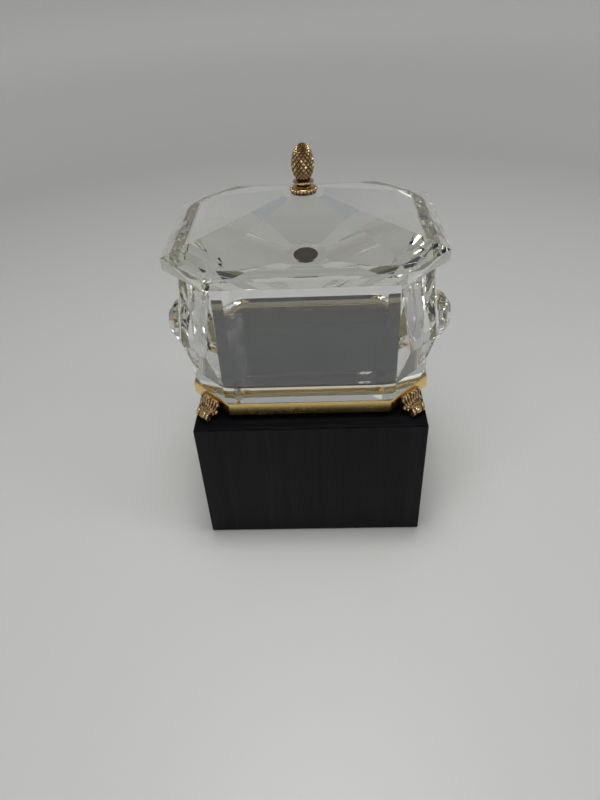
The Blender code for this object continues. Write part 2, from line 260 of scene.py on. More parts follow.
def add_node(tree, kind, **inputs):
    """Node whose inputs, named with _ for a space, are linked to sockets or set to values."""
    node = tree.nodes.new(kind)
    for name, value in inputs.items():
        socket = node.inputs[name.replace("_", " ")]
        if isinstance(value, bpy.types.NodeSocket):
            tree.links.new(value, socket)
        else:
            socket.default_value = value
    return node


def object_place(tree):
    """Coordinates in the object's own space."""
    return tree.nodes.new("ShaderNodeTexCoord").outputs["Object"]


def noise_node(tree, vector, scale, detail=4.0, roughness=0.55):
    return add_node(tree, "ShaderNodeTexNoise", Vector=vector, Scale=scale, Detail=detail,
                    Roughness=roughness).outputs["Fac"]


def range_node(tree, value, low, high, new_low=0.0, new_high=1.0):
    return add_node(tree, "ShaderNodeMapRange", Value=value, From_Min=low, From_Max=high,
                    To_Min=new_low, To_Max=new_high).outputs["Result"]


def math_node(tree, operation, first, second):
    """Result, held between 0 and 1, of an operation on two values or sockets."""
    node = tree.nodes.new("ShaderNodeMath")
    node.operation = operation
    node.use_clamp = True
    for socket, value in zip(node.inputs, (first, second)):
        if isinstance(value, (int, float)):
            socket.default_value = value
        else:
            tree.links.new(value, socket)
    return node.outputs["Value"]


def mix_node(tree, factor, first, second):
    """Mixed colour from two colours or sockets."""
    node = add_node(tree, "ShaderNodeMix", Factor=factor)
    node.data_type = "RGBA"
    first_colour, second_colour, mixed_colour = node.inputs[6], node.inputs[7], node.outputs[2]
    for socket, value in ((first_colour, first), (second_colour, second)):
        if isinstance(value, tuple):
            socket.default_value = (*value, 1)
        else:
            tree.links.new(value, socket)
    return mixed_colour


def join_bump(tree, shader, height, distance, strength=1.0):
    bump = add_node(tree, "ShaderNodeBump", Height=height, Distance=distance, Strength=strength)
    tree.links.new(bump.outputs["Normal"], shader.inputs["Normal"])


def wood_grain_group():
    """Open pores and broader bands, stretched along the grain, and a faintly uneven polish."""
    tree, enter, leave = new_group(
        "wood_grain",
        (("Stretch", "NodeSocketVector", (1, 1, 1)), ("Dark", "NodeSocketColor", (0, 0, 0, 1)),
         ("Light", "NodeSocketColor", (1, 1, 1, 1))),
        (("Colour", "NodeSocketColor"), ("Roughness", "NodeSocketFloat"),
         ("Height", "NodeSocketFloat")))
    place = object_place(tree)
    stretch = tree.nodes.new("ShaderNodeVectorMath")
    stretch.operation = "MULTIPLY"
    tree.links.new(place, stretch.inputs[0])
    tree.links.new(enter.outputs["Stretch"], stretch.inputs[1])
    pores = noise_node(tree, stretch.outputs["Vector"], scale=1.0, detail=5.0, roughness=0.7)
    bands = noise_node(tree, stretch.outputs["Vector"], scale=0.16, detail=2.0)
    rubbed = noise_node(tree, place, scale=34.0, detail=3.0)
    pore_mask = range_node(tree, pores, 0.42, 0.66)
    band_mask = range_node(tree, bands, 0.38, 0.68)
    tone = math_node(tree, "MULTIPLY", pore_mask, band_mask)
    worn = math_node(tree, "MULTIPLY", range_node(tree, rubbed, 0.3, 0.7), 0.06)
    sheen = math_node(tree, "ADD", worn, range_node(tree, pores, 0.35, 0.65, 0.30, 0.52))
    colour = mix_node(tree, tone, enter.outputs["Dark"], enter.outputs["Light"])
    tree.links.new(colour, leave.inputs["Colour"])
    tree.links.new(sheen, leave.inputs["Roughness"])
    tree.links.new(pore_mask, leave.inputs["Height"])
    return tree


wood_grain = wood_grain_group()


def grained_wood(name, stretched, dark, light, specular, pore_depth, polish=1.0):
    """Wood whose grain is stretched most along the axis with the smallest number."""
    material, tree, shader, output = new_material(name)
    shader.inputs["Specular IOR Level"].default_value = specular
    grain = tree.nodes.new("ShaderNodeGroup")
    grain.node_tree = wood_grain
    grain.inputs["Stretch"].default_value = stretched
    grain.inputs["Dark"].default_value = (*dark, 1)
    grain.inputs["Light"].default_value = (*light, 1)
    tree.links.new(grain.outputs["Colour"], shader.inputs["Base Color"])
    dull = math_node(tree, "MULTIPLY", grain.outputs["Roughness"], polish)
    tree.links.new(dull, shader.inputs["Roughness"])
    join_bump(tree, shader, grain.outputs["Height"], pore_depth)
    return material


upright_black = grained_wood("ebonised_upright", (620, 620, 16), BLACK_DARK, BLACK_LIGHT,
                             specular=0.17, pore_depth=0.08 * MM)
flat_black = grained_wood("ebonised_flat", (34, 900, 900), BLACK_DARK, BLACK_LIGHT,
                          specular=0.03, pore_depth=0.05 * MM, polish=1.7)
for side in ("front", "right", "back", "left"):
    board = eased_copy("plinth_" + side, "board_" + side, BOARD_ARRIS, 2)
    dress(board, upright_black, "plinth", "ebonised_wood", "plinth_" + side)
top_board = eased_copy("plinth_top", "board_top", BOARD_ARRIS, 2)
dress(top_board, flat_black, "plinth", "ebonised_wood", "plinth_top")
finish_node("plinth_bottom", flat_black)


# ---------------------------------------------------------------------------
# Blocks, screws and pads of the plinth. Plain softwood blocks glued into the
# corners, zinc-plated wood screws through the bottom board, and round pads
# of pressed felt glued under it.
# ---------------------------------------------------------------------------

CORNERS = {"front_left": (-1, -1), "front_right": (1, -1),
           "back_left": (-1, 1), "back_right": (1, 1)}
PINE_DARK = (0.36, 0.22, 0.11)
PINE_LIGHT = (0.60, 0.42, 0.24)
FELT_DARK = (0.008, 0.008, 0.009)
FELT_LIGHT = (0.035, 0.034, 0.034)


def metal_wear_and_shade_group():
    """Dull patches, patina in hollows and painted shade under beads on clean metal, with a fine
    sand-cast grain.
    """
    tree, enter, leave = new_group(
        "metal_wear_and_shade",
        (("Clean", "NodeSocketColor", (1, 1, 1, 1)), ("Dull", "NodeSocketColor", (0, 0, 0, 1)),
         ("Patch Scale", "NodeSocketFloat", 90.0), ("Patches", "NodeSocketFloat", 0.5),
         ("Patina_Shade", "NodeSocketFloat", 0.0)),
        (("Colour", "NodeSocketColor"), ("Roughness", "NodeSocketFloat"),
         ("Height", "NodeSocketFloat")))
    place = object_place(tree)
    patches = add_node(tree, "ShaderNodeTexNoise", Vector=place, Detail=5.0,
                       Scale=enter.outputs["Patch Scale"])
    fine = noise_node(tree, place, scale=2600.0, detail=3.0)
    patch_mask = range_node(tree, patches.outputs["Fac"], 0.42, 0.80)
    patched = math_node(tree, "MULTIPLY", patch_mask, enter.outputs["Patches"])
    # This input brings the painted shade under beads along with the patina in hollows.
    dulled_and_shaded = math_node(tree, "ADD", patched, enter.outputs["Patina_Shade"])
    colour = mix_node(tree, dulled_and_shaded, enter.outputs["Clean"], enter.outputs["Dull"])
    rough_hollows = math_node(tree, "MULTIPLY", dulled_and_shaded, 0.30)
    rough = math_node(tree, "ADD", rough_hollows, range_node(tree, fine, 0.3, 0.7, 0.20, 0.28))
    tree.links.new(colour, leave.inputs["Colour"])
    tree.links.new(rough, leave.inputs["Roughness"])
    tree.links.new(fine, leave.inputs["Height"])
    return tree


metal_wear_and_shade = metal_wear_and_shade_group()


def worn_and_shaded_metal(name, clean, dull, patch_scale, patches, grain_depth):
    """Metal whose hollows, marked by the piece's own patina_shade attribute, are dull and dark,
    and whose beads are darkened underneath as painted shade by the same attribute.
    """
    material, tree, shader, output = new_material(name)
    shader.inputs["Metallic"].default_value = 1.0
    wear = tree.nodes.new("ShaderNodeGroup")
    wear.node_tree = metal_wear_and_shade
    wear.inputs["Clean"].default_value = (*clean, 1)
    wear.inputs["Dull"].default_value = (*dull, 1)
    wear.inputs["Patch Scale"].default_value = patch_scale
    wear.inputs["Patches"].default_value = patches
    # The attribute holds patina in hollows and the painted shade under beads.
    hollow = tree.nodes.new("ShaderNodeAttribute")
    hollow.attribute_name = "patina_shade"
    tree.links.new(hollow.outputs["Fac"], wear.inputs["Patina_Shade"])
    tree.links.new(wear.outputs["Colour"], shader.inputs["Base Color"])
    tree.links.new(wear.outputs["Roughness"], shader.inputs["Roughness"])
    join_bump(tree, shader, wear.outputs["Height"], grain_depth, 0.5)
    return material


def pressed_felt():
    material, tree, shader, output = new_material("pressed_felt")
    shader.inputs["Sheen Weight"].default_value = 0.4
    fibres = noise_node(tree, object_place(tree), scale=1800.0, detail=6.0, roughness=0.7)
    tree.links.new(mix_node(tree, fibres, FELT_DARK, FELT_LIGHT), shader.inputs["Base Color"])
    tree.links.new(range_node(tree, fibres, 0.2, 0.8, 0.85, 1.0), shader.inputs["Roughness"])
    join_bump(tree, shader, fibres, 0.25 * MM)
    return material


raw_pine = grained_wood("raw_pine", (520, 520, 22), PINE_DARK, PINE_LIGHT,
                        specular=0.35, pore_depth=0.03 * MM)
steel = worn_and_shaded_metal("zinc_steel", (0.48, 0.48, 0.49), (0.26, 0.25, 0.24), patch_scale=220.0,
                   patches=0.5, grain_depth=0.01 * MM)
felt = pressed_felt()
for corner in CORNERS:
    finish_node("corner_block_" + corner, raw_pine)
    finish_node("wood_screw_" + corner, steel)
    finish_node("felt_pad_" + corner, felt)


# ---------------------------------------------------------------------------
# Base frame. One cast ring of gilt bronze with a bevelled shoulder, filed
# smooth and burnished, that carries the crystal on a ledge.
# ---------------------------------------------------------------------------

GILT_CLEAN = (0.95, 0.68, 0.27)
GILT_DULL = (0.050, 0.032, 0.016)
CAST_GILT = (0.50, 0.345, 0.18)
RING_ARRIS = 0.28 * MM
RING_BREAK = math.radians(20)       # edges sharper than this are broken

burnished = worn_and_shaded_metal("burnished_gilt", GILT_CLEAN, GILT_DULL, patch_scale=45.0,
                       patches=0.08, grain_depth=0.005 * MM)
gilt = worn_and_shaded_metal("gilt_bronze", CAST_GILT, GILT_DULL, patch_scale=75.0,
                  patches=0.35, grain_depth=0.012 * MM)
ring = eased_copy("base_frame", "gilt_ring", RING_ARRIS, 2, RING_BREAK)
dress(ring, burnished, "casket", "gilt_bronze", "base_frame")


# ---------------------------------------------------------------------------
# Feet. Four cast and chased leaves of gilt bronze, each lying on a corner of
# the ring under a row of beads and rolling out into a spool-shaped toe. Dark
# patina stays in the flutes, and the beads and curls carry painted shade on
# their undersides. A brass screw holds each from inside the ring.
# ---------------------------------------------------------------------------

PLINTH_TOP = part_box("plinth_top")[1][2]
RING_END, RING_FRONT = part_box("base_frame")[1][:2]
RING_CORNER = 144.4 * MM            # sum of X and Y on the ring's corner faces
LEAF_PATH = (                       # outwards from the corner face, above the plinth, in mm
    (0.35, 11.6), (1.7, 12.0), (2.9, 11.6), (3.9, 10.4), (4.6, 9.0), (5.3, 7.7),
    (6.4, 6.6), (8.0, 6.2), (9.8, 6.8), (11.6, 7.4), (13.2, 7.3))
LEAF_HALF = (10.2, 10.9, 11.3, 11.4, 11.2, 10.7, 9.6, 8.2, 7.0, 6.2, 5.8)
LEAF_STEPS = 5                      # rows between neighbouring points of the path
LEAF_COLUMNS = 84
LEAF_LEAN = 0.42                    # sideways per unit outwards, away from the casket's end
LEAF_SIDE = 1.0 * MM
LEAF_BACK = 1.6                     # thickness in mm, like the next five lengths
LEAF_CROWN = 0.9                    # how far the middle stands above the sides
LEAF_EDGE = 1.2                     # how far the very edge turns down
LEAF_CLEAR_RING = 0.30              # the back comes no nearer to the ring than this
LEAF_CLEAR_PLINTH = 0.45
FLUTE_DEPTH = 1.5
LEAF_EDGE_FROM = 0.90               # share of the half width where the edge turns down
LEAF_BACK_WIDTH = 0.97              # the back's width against the front's
LEAF_BACK_PATINA = 0.7
FLUTES = 7
FLUTE_SHARPNESS = 1.5
FLUTE_PATINA = 1.15
LOBES = 3
LOBE_SWELL = 0.05                   # share of the half width
TOE_OUT = 13.8 * MM
TOE_UP = 4.1 * MM
TOE_SIDES = 32
TOE_PROFILE = (                     # along the toe's axis, radius
    (6.9, 0.0), (6.9, 0.7), (6.3, 0.9), (6.3, 1.6), (6.9, 1.9), (7.1, 2.5), (6.9, 3.1),
    (6.2, 3.6), (5.3, 3.7), (4.5, 3.4), (4.0, 2.8), (3.6, 2.7), (3.2, 3.1), (2.4, 3.5),
    (1.3, 3.7), (0.0, 3.75))
TOE_WAIST = 3.3                     # the toe is dark where its radius is less than this
TOE_PATINA = 0.7
BEADS = 5
BEAD_RADIUS = 1.6 * MM
BEAD_TAPER = 0.20                   # share of its size that an end bead loses
BEAD_ROW = Vector((1.7, 8.9, 13.0)) * MM    # nearest to the ring, half length, middle height
BEAD_ROW_BOW = 0.8 * MM
BEAD_ROW_SAG = 0.5 * MM
CURLS = (                           # outwards, sideways, up, radius, squash
    (6.0, 9.8, 4.6, 1.9, (1.2, 0.85, 1.1)),
    (8.6, 7.6, 3.7, 1.5, (1.2, 0.8, 1.0)))
SHARP_EDGE = math.radians(40)
CASTING_WELD = 1e-7                 # finer than WELD, because the chasing is fine


def corner_place(signs):
    """Frame at the middle of a corner face: X outwards, Y along the face, Z up."""
    sx, sy = signs
    out = Vector((sx, sy, 0)).normalized()
    along = Vector((0, 0, 1)).cross(out)
    turn = Matrix((out, along, Vector((0, 0, 1)))).transposed().to_4x4()
    middle = Vector((sx * (RING_END + RING_CORNER - RING_FRONT) / 2,
                     sy * (RING_FRONT + RING_CORNER - RING_END) / 2, PLINTH_TOP))
    return Matrix.Translation(middle) @ turn


def smooth_path(points, steps):
    """Points of a smooth line through the given ones."""
    result = []
    last = len(points) - 1
    for k in range(last):
        a, b, c, d = (points[min(max(j, 0), last)] for j in (k - 1, k, k + 1, k + 2))
        for step in range(steps):
            t = step / steps
            result.append([0.5 * (2 * b[i] + (c[i] - a[i]) * t
                                  + (2 * a[i] - 5 * b[i] + 4 * c[i] - d[i]) * t * t
                                  + (3 * b[i] - a[i] - 3 * c[i] + d[i]) * t ** 3)
                           for i in range(len(b))])
    result.append(list(points[last]))
    return result


def add_leaf(bm, patina_shade, path):
    """Fluted leaf as a closed sheet: a chased front, a plain back and a rim between."""
    front = []
    back = []
    rows = len(path)
    for r, (out, up, half) in enumerate(path):
        before = path[max(r - 1, 0)]
        after = path[min(r + 1, rows - 1)]
        run = Vector((after[0] - before[0], after[1] - before[1]))
        run.normalize()
        normal = Vector((-run.y, run.x))
        if normal.x < 0 and abs(normal.x) > abs(normal.y):
            normal = -normal
        share = r / (rows - 1)
        # The chasing dies away towards the leaf's root and its tip.
        fade = math.sin(math.pi * min(max(share * 1.08 + 0.02, 0), 1)) ** 0.5
        front_row = []
        back_row = []
        for c in range(LEAF_COLUMNS + 1):
            u = 2 * c / LEAF_COLUMNS - 1
            wave = abs(math.cos(math.pi * FLUTES * 0.5 * u))
            hollow = (1 - wave) ** FLUTE_SHARPNESS * fade
            lobe = 1 + LOBE_SWELL * math.cos(2 * LOBES * math.pi * share) * fade
            side = half * lobe * u
            depth = FLUTE_DEPTH * (0.5 - hollow) * fade + LEAF_CROWN * (1 - u * u) * fade
            lift = depth - LEAF_EDGE * max(abs(u) - LEAF_EDGE_FROM, 0) / (1 - LEAF_EDGE_FROM)
            vert = bm.verts.new(Vector((out + normal.x * lift, side, up + normal.y * lift)) * MM)
            vert[patina_shade] = min(hollow * FLUTE_PATINA, 1.0)
            front_row.append(vert)
            rear = Vector((max(out - normal.x * LEAF_BACK, LEAF_CLEAR_RING),
                           side * LEAF_BACK_WIDTH,
                           max(up - normal.y * LEAF_BACK, LEAF_CLEAR_PLINTH)))
            behind = bm.verts.new(rear * MM)
            behind[patina_shade] = LEAF_BACK_PATINA
            back_row.append(behind)
        front.append(front_row)
        back.append(back_row)
    for r in range(rows - 1):
        for c in range(LEAF_COLUMNS):
            bm.faces.new((front[r][c], front[r][c + 1], front[r + 1][c + 1], front[r + 1][c]))
            bm.faces.new((back[r][c], back[r + 1][c], back[r + 1][c + 1], back[r][c + 1]))
        for column in (0, LEAF_COLUMNS):
            bm.faces.new((front[r][column], front[r + 1][column],
                          back[r + 1][column], back[r][column]))
    for row in (0, rows - 1):
        for c in range(LEAF_COLUMNS):
            bm.faces.new((front[row][c], back[row][c], back[row][c + 1], front[row][c + 1]))


def add_turned(bm, patina_shade, profile, place, sides, dark_below=0.0, patina=0.0):
    """Solid of revolution about the place's X axis from (along, radius) points in mm."""
    rings = []
    for along, radius in profile:
        if radius == 0:
            ring = [bm.verts.new(place @ (Vector((along, 0, 0)) * MM))]
        else:
            ring = [bm.verts.new(place @ (Vector((along, radius * math.cos(a),
                                                  radius * math.sin(a))) * MM))
                    for a in turns(sides)]
        for vert in ring:
            vert[patina_shade] = patina if radius < dark_below else 0.0
        rings.append(ring)
    join_rings(bm, rings)


def add_bead(bm, patina_shade, centre, radius, squash=(1, 1, 1)):
    """Small cast ball, a little darker underneath, which is painted shade."""
    made = bmesh.ops.create_icosphere(bm, subdivisions=3, radius=radius)
    for vert in made["verts"]:
        # Painted shade: the lower half of each bead is darkened, most at the bottom, as if lit
        # from above.
        low = max(-vert.co.z / radius, 0)
        vert[patina_shade] = 0.5 * low
        vert.co = Vector([vert.co[i] * squash[i] for i in range(3)]) + centre


def add_bead_row(bm, patina_shade):
    """Row of beads over the leaf, the middle one largest and furthest out."""
    nearest, half_length, height = BEAD_ROW
    for k in range(BEADS):
        side = (k - (BEADS - 1) / 2) / ((BEADS - 1) / 2)
        radius = BEAD_RADIUS * (1.0 - BEAD_TAPER * abs(side))
        centre = Vector((nearest + radius + BEAD_ROW_BOW * (1 - side * side),
                         side * half_length, height - BEAD_ROW_SAG * side * side))
        add_bead(bm, patina_shade, centre, radius)


def add_curls(bm, patina_shade):
    """Rolled tips of the leaf's edge, two on each side."""
    for sign in (-1, 1):
        for out, aside, up, radius, squash in CURLS:
            add_bead(bm, patina_shade, Vector((out, sign * aside, up)) * MM, radius * MM, squash)


def add_toe(bm, patina_shade):
    """Spool-shaped toe, lying along the corner face, with patina in its waists."""
    mirrored = [(-along, radius) for along, radius in reversed(TOE_PROFILE[:-1])]
    profile = [(along, max(radius, 0.0))
               for along, radius in smooth_path([*TOE_PROFILE, *mirrored], 2)]
    place = Matrix.Translation((TOE_OUT, 0, TOE_UP)) @ Matrix.Rotation(math.pi / 2, 4, "Z")
    add_turned(bm, patina_shade, profile, place, TOE_SIDES, TOE_WAIST, TOE_PATINA)


def finished_mesh(bm, name):
    """Mesh of one closed casting, smooth but for its sharp edges."""
    bmesh.ops.remove_doubles(bm, verts=bm.verts, dist=CASTING_WELD)
    bmesh.ops.recalc_face_normals(bm, faces=bm.faces)
    mesh = bpy.data.meshes.new(name)
    bm.to_mesh(mesh)
    bm.free()
    mesh.shade_smooth()
    mesh.set_sharp_from_angle(angle=SHARP_EDGE)
    return mesh


def leaf_foot(name, signs):
    """One foot, leaning away from the casket's end, at its own corner of the ring."""
    bm = bmesh.new()
    patina_shade = bm.verts.layers.float.new("patina_shade")
    path = [(*point, half) for point, half in zip(LEAF_PATH, LEAF_HALF)]
    add_leaf(bm, patina_shade, smooth_path(path, LEAF_STEPS))
    add_toe(bm, patina_shade)
    add_bead_row(bm, patina_shade)
    add_curls(bm, patina_shade)
    towards_front = signs[0] * signs[1]
    for vert in bm.verts:
        vert.co.y += towards_front * (LEAF_SIDE + LEAF_LEAN * vert.co.x)
    foot = link_object(name, finished_mesh(bm, name))
    foot.data.transform(corner_place(signs))
    return foot


brass = worn_and_shaded_metal("turned_brass", (0.62, 0.46, 0.20), (0.20, 0.12, 0.05), patch_scale=160.0,
                   patches=0.4, grain_depth=0.008 * MM)
for corner, signs in CORNERS.items():
    foot = leaf_foot("leaf_foot_" + corner, signs)
    dress(foot, gilt, "casket", "gilt_bronze", "foot_" + corner)
    finish_node("foot_screw_" + corner, brass)


# ---------------------------------------------------------------------------
# Crystal. Lead crystal cut in broad polished facets: the deep body with its
# two side bosses, and the solid lid with its stepped rim. Fine arrises are
# ground off every edge, and thick parts are faintly yellow-green.
# ---------------------------------------------------------------------------

CRYSTAL_IOR = 1.54
CRYSTAL_TINT = (0.80, 0.82, 0.62)   # yellow-green that deepens with the thickness
CRYSTAL_DENSITY = 2.0
CRYSTAL_SHADOW = (0.86, 0.87, 0.85)
CRYSTAL_ARRIS = 0.35 * MM


def cut_crystal():
    """Clear glass with a faintly uneven polish, whose shadow stays light."""
    material, tree, shader, output = new_material("crystal")
    shader.inputs["Base Color"].default_value = (1, 1, 1, 1)
    shader.inputs["Roughness"].default_value = 0.0
    shader.inputs["IOR"].default_value = CRYSTAL_IOR
    shader.inputs["Transmission Weight"].default_value = 1.0
    polish = noise_node(tree, object_place(tree), scale=45.0, detail=1.0)
    join_bump(tree, shader, polish, 0.03 * MM, 0.10)
    absorb = add_node(tree, "ShaderNodeVolumeAbsorption", Color=(*CRYSTAL_TINT, 1),
                      Density=CRYSTAL_DENSITY)
    tree.links.new(absorb.outputs["Volume"], output.inputs["Volume"])
    path = tree.nodes.new("ShaderNodeLightPath")
    clear = add_node(tree, "ShaderNodeBsdfTransparent", Color=(*CRYSTAL_SHADOW, 1))
    blend = add_node(tree, "ShaderNodeMixShader", Fac=path.outputs["Is Shadow Ray"])
    tree.links.new(shader.outputs["BSDF"], blend.inputs[1])
    tree.links.new(clear.outputs["BSDF"], blend.inputs[2])
    tree.links.new(blend.outputs["Shader"], output.inputs["Surface"])
    return material


crystal = cut_crystal()
for node, name, body in (("crystal_body", "cut_body", "casket"),
                         ("lid_crystal", "cut_lid", "lid")):
    cut_piece = eased_copy(node, name, CRYSTAL_ARRIS)
    dress(cut_piece, crystal, body, "crystal", node)


# ---------------------------------------------------------------------------
# Setting cement. A thin dark bed under the crystal's foot and a disc under
# the finial, both wetted out against the crystal, so they show through it.
# ---------------------------------------------------------------------------

WETTED = 0.03 * MM                  # how far the cement reaches into the crystal's face
CEMENT_DARK = (0.050, 0.043, 0.026)
CEMENT_LIGHT = (0.16, 0.135, 0.08)


def setting_cement():
    material, tree, shader, output = new_material("setting_cement")
    mottle = noise_node(tree, object_place(tree), scale=240.0, detail=5.0)
    tree.links.new(mix_node(tree, mottle, CEMENT_DARK, CEMENT_LIGHT), shader.inputs["Base Color"])
    tree.links.new(range_node(tree, mottle, 0.2, 0.8, 0.55, 0.8), shader.inputs["Roughness"])
    join_bump(tree, shader, mottle, 0.08 * MM)
    return material


def stretched_to(node, name, height, upper):
    """Copy of a CAD node whose upper or lower face is moved to a height."""
    bm = bmesh.new()
    bm.from_mesh(node_objects[node].data)
    bmesh.ops.remove_doubles(bm, verts=bm.verts, dist=WELD)
    low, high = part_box(node)[0][2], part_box(node)[1][2]
    for vert in bm.verts:
        if upper == (vert.co.z > (low + high) / 2):
            vert.co.z = height
    mesh = bpy.data.meshes.new(name)
    bm.to_mesh(mesh)
    bm.free()
    mesh.shade_flat()
    return link_object(name, mesh)


cement = setting_cement()
bed = stretched_to("cement_bed", "wetted_bed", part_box("crystal_body")[0][2] + WETTED, True)
dress(bed, cement, "casket", "cement", "cement_bed")
disc = stretched_to("finial_cement", "wetted_disc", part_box("lid_crystal")[1][2] - WETTED, False)
dress(disc, cement, "lid", "cement", "finial_cement")


# ---------------------------------------------------------------------------
# Finial. Gilt bronze in three pieces on a brass stud: a round flange with a
# beaded edge, a turned knop with a bright rim, and a pine cone whose small
# scales are cast in crossing spirals over an egg-shaped core.
# ---------------------------------------------------------------------------

FLANGE = (                          # radius, height above the flange's foot
    (1.9, 0.0), (8.2, 0.0), (8.6, 0.3), (8.8, 1.2), (8.5, 2.0), (7.8, 2.6), (6.9, 3.0),
    (6.1, 3.25), (5.7, 3.6), (5.6, 4.1), (1.9, 4.2))
FLANGE_BEADS = 22
FLANGE_BEAD_RADIUS = 1.28 * MM
FLANGE_BEAD_CIRCLE = 9.25 * MM
KNOP = (                            # radius, height above the knop's foot
    (1.9, 0.0), (5.0, 0.05), (4.7, 0.5), (5.3, 0.9), (6.8, 1.3), (7.7, 1.9), (7.85, 2.35),
    (7.7, 2.8), (6.9, 3.3), (5.4, 3.65), (4.7, 3.9), (4.6, 4.2), (1.9, 4.2))
CONE_SHAPE = ((0.00, 0.50), (0.08, 0.72), (0.18, 0.88), (0.30, 0.97), (0.42, 1.00),
              (0.55, 0.97), (0.67, 0.88), (0.78, 0.73), (0.87, 0.55), (0.94, 0.36),
              (0.985, 0.17), (1.0, 0.0))
SCALES_ROUND = 13
SCALE_TALL = 1.22                   # a scale's height against its width
SCALES_FROM = 0.05                  # shares of the cone's height between which scales stand
SCALES_TO = 0.965
SCALE_STANDS = 0.85 * MM            # how far a scale's tip stands out of the core
SCALE_ROOT = 0.15 * MM              # how far a scale goes on into the core
SCALE_TOP_RADIUS = 0.20 * MM
SCALE_FOOT_RADIUS = 0.97 * MM
LEAST_CLIMB = 0.45                  # the least share of a scale's height between two rows
TURNED_SIDES = 72
WAIST_PATINA = 0.75
FLANGE_WAIST = 2.5                  # these pieces are dark where the radius is less, in mm
KNOP_WAIST = 5.2
CORE_SIDES = 56
HOLLOW_RATE = 1.5                   # how fast the patina clears towards a scale's tip
CONE_PATINA = 0.95
CORE_TOP_DROP = 0.3 * MM
FLANGE_BEAD_HEIGHT = 1.32 * MM
UPRIGHT = Matrix.Rotation(-math.pi / 2, 4, "Y")     # turns the lathe's X axis up


def turned_piece(name, profile, base, dark_below):
    """Turned ring, finely stepped, whose narrow waists hold patina."""
    bm = bmesh.new()
    patina_shade = bm.verts.layers.float.new("patina_shade")
    section = [(height, radius) for radius, height in smooth_path(profile, 3)]
    section.append(section[0])
    add_turned(bm, patina_shade, section, Matrix.Translation((0, 0, base)) @ UPRIGHT, TURNED_SIDES,
               dark_below, WAIST_PATINA)
    return link_object(name, finished_mesh(bm, name))


def new_shape_tree(name, inputs):
    """Geometry node tree with named inputs, and its input and output nodes."""
    tree = bpy.data.node_groups.new(name, "GeometryNodeTree")
    tree.interface.new_socket("Geometry", in_out="INPUT", socket_type="NodeSocketGeometry")
    for socket, kind in inputs:
        tree.interface.new_socket(socket, in_out="INPUT", socket_type=kind)
    tree.interface.new_socket("Geometry", in_out="OUTPUT", socket_type="NodeSocketGeometry")
    return tree, tree.nodes.new("NodeGroupInput"), tree.nodes.new("NodeGroupOutput")


def grown(item, tree, values):
    """Apply a tree to an object, with its inputs set by name, and keep the mesh."""
    modifier = item.modifiers.new("grown", "NODES")
    modifier.node_group = tree
    for socket in tree.interface.items_tree:
        if socket.in_out == "INPUT" and socket.name in values:
            modifier[socket.identifier] = values[socket.name]
    graph = bpy.context.evaluated_depsgraph_get()
    mesh = bpy.data.meshes.new_from_object(item.evaluated_get(graph))
    item.modifiers.clear()
    item.data = mesh
    mesh.name = item.name
    return item


def joined(name, *items):
    """One object from several that belong to the same casting."""
    bm = bmesh.new()
    for item in items:
        bm.from_mesh(item.data)
        bpy.data.objects.remove(item)
    mesh = bpy.data.meshes.new(name)
    bm.to_mesh(mesh)
    bm.free()
    return link_object(name, mesh)


def bead_circle():
    """Tree that sets beads on a level circle."""
    tree, enter, leave = new_shape_tree("bead_circle", (
        ("Count", "NodeSocketInt"), ("Circle", "NodeSocketFloat"), ("Bead", "NodeSocketFloat"),
        ("Height", "NodeSocketFloat"), ("Finish", "NodeSocketMaterial")))
    circle = add_node(tree, "GeometryNodeMeshCircle", Vertices=enter.outputs["Count"],
                      Radius=enter.outputs["Circle"])
    bead = add_node(tree, "GeometryNodeMeshIcoSphere", Subdivisions=3,
                    Radius=enter.outputs["Bead"])
    lift = add_node(tree, "ShaderNodeCombineXYZ", Z=enter.outputs["Height"])
    raised = add_node(tree, "GeometryNodeSetPosition", Geometry=circle.outputs["Mesh"],
                      Offset=lift.outputs["Vector"])
    beads = add_node(tree, "GeometryNodeInstanceOnPoints", Points=raised.outputs["Geometry"],
                     Instance=bead.outputs["Mesh"])
    real = add_node(tree, "GeometryNodeRealizeInstances", Geometry=beads.outputs["Instances"])
    smooth = add_node(tree, "GeometryNodeSetShadeSmooth", Geometry=real.outputs["Geometry"])
    coat = add_node(tree, "GeometryNodeSetMaterial", Geometry=smooth.outputs["Geometry"],
                    Material=enter.outputs["Finish"])
    tree.links.new(coat.outputs["Geometry"], leave.inputs["Geometry"])
    return tree


